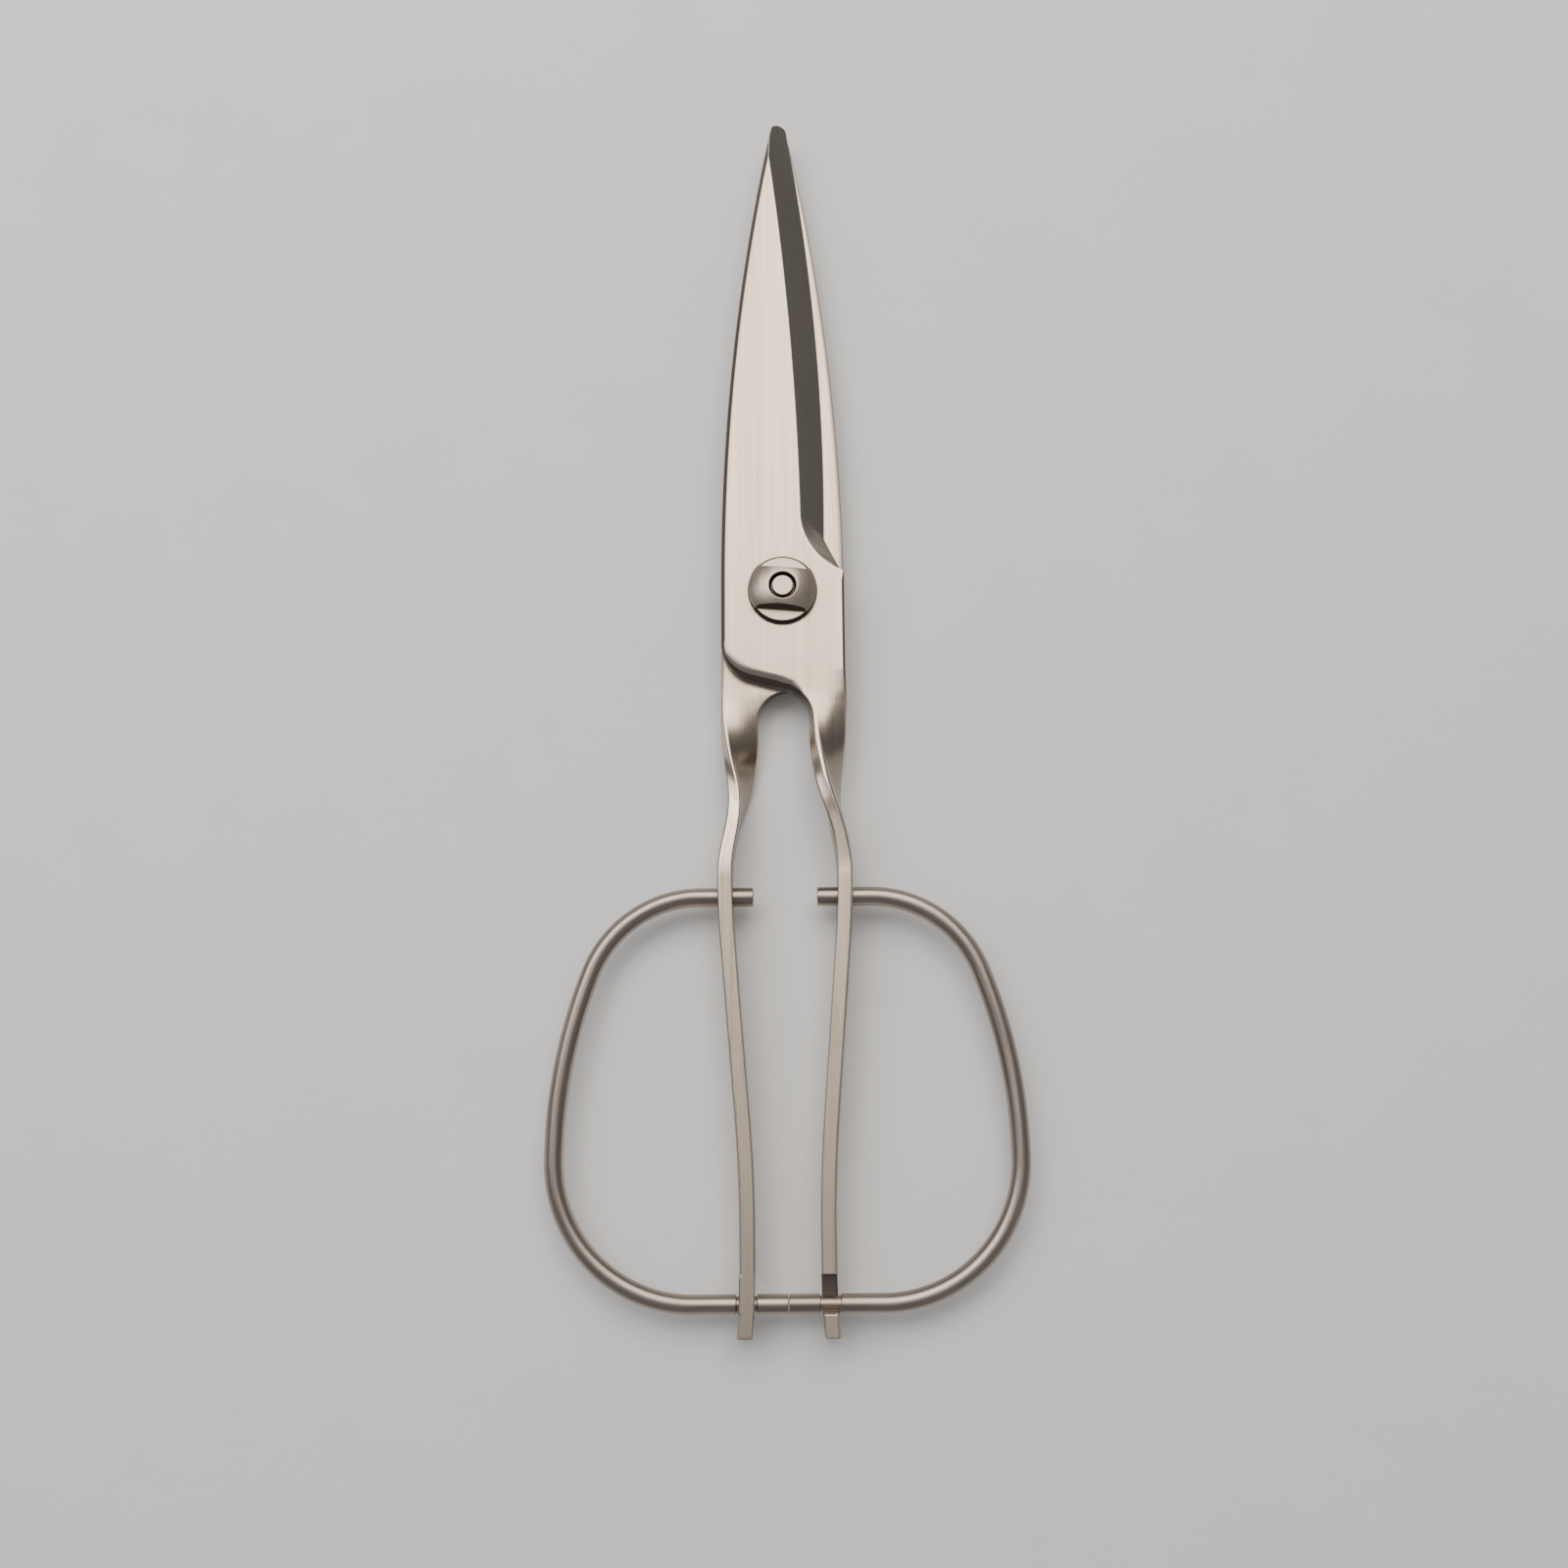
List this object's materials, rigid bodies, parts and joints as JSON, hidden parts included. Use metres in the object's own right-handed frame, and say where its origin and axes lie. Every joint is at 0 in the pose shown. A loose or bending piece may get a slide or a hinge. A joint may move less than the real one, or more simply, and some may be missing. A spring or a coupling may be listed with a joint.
{
  "type": "floral snips",
  "caption": "All-metal floral snips: straight bevelled blades on a screwed pivot, twisted flat handle bars and bent wire finger loops that swing out of open notches.",
  "frame": {"origin": "on the pivot axis, in the outer face of the pivot screw's head, which is the back face that the snips lie on", "axes": "+Y from the pivot to the blade tips, +X to the right seen from the nut side, +Z along the pivot towards the nut"},
  "size_m": [0.0772, 0.2063, 0.0114],
  "materials": {
    "blade_steel": "brushed along its length",
    "loop_wire": "drawn and lightly polished",
    "pivot_steel": "turned satin"
  },
  "bodies": {
    "back_half": {"back_blade": "blade_steel", "pivot_screw": "pivot_steel", "pivot_washer": "pivot_steel", "pivot_nut": "pivot_steel"},
    "front_half": {"front_blade": "blade_steel"},
    "right_loop": {"right_finger_loop": "loop_wire"},
    "left_loop": {"left_finger_loop": "loop_wire"}
  },
  "joints": [
    {"name": "blade_pivot", "type": "hinge", "parent": "back_half", "child": "front_half", "pos_m": [0, 0, 0.00483], "axis": [0, 0, 1], "range_deg": [0, 120]},
    {"name": "right_loop_hinge", "type": "hinge", "parent": "front_half", "child": "right_loop", "pos_m": [0, -0.05095, 0.00483], "axis": [-1, 0, 0], "range_deg": [0, 170]},
    {"name": "left_loop_hinge", "type": "hinge", "parent": "back_half", "child": "left_loop", "pos_m": [0, -0.05095, 0.00483], "axis": [1, 0, 0], "range_deg": [0, 170]}
  ]
}
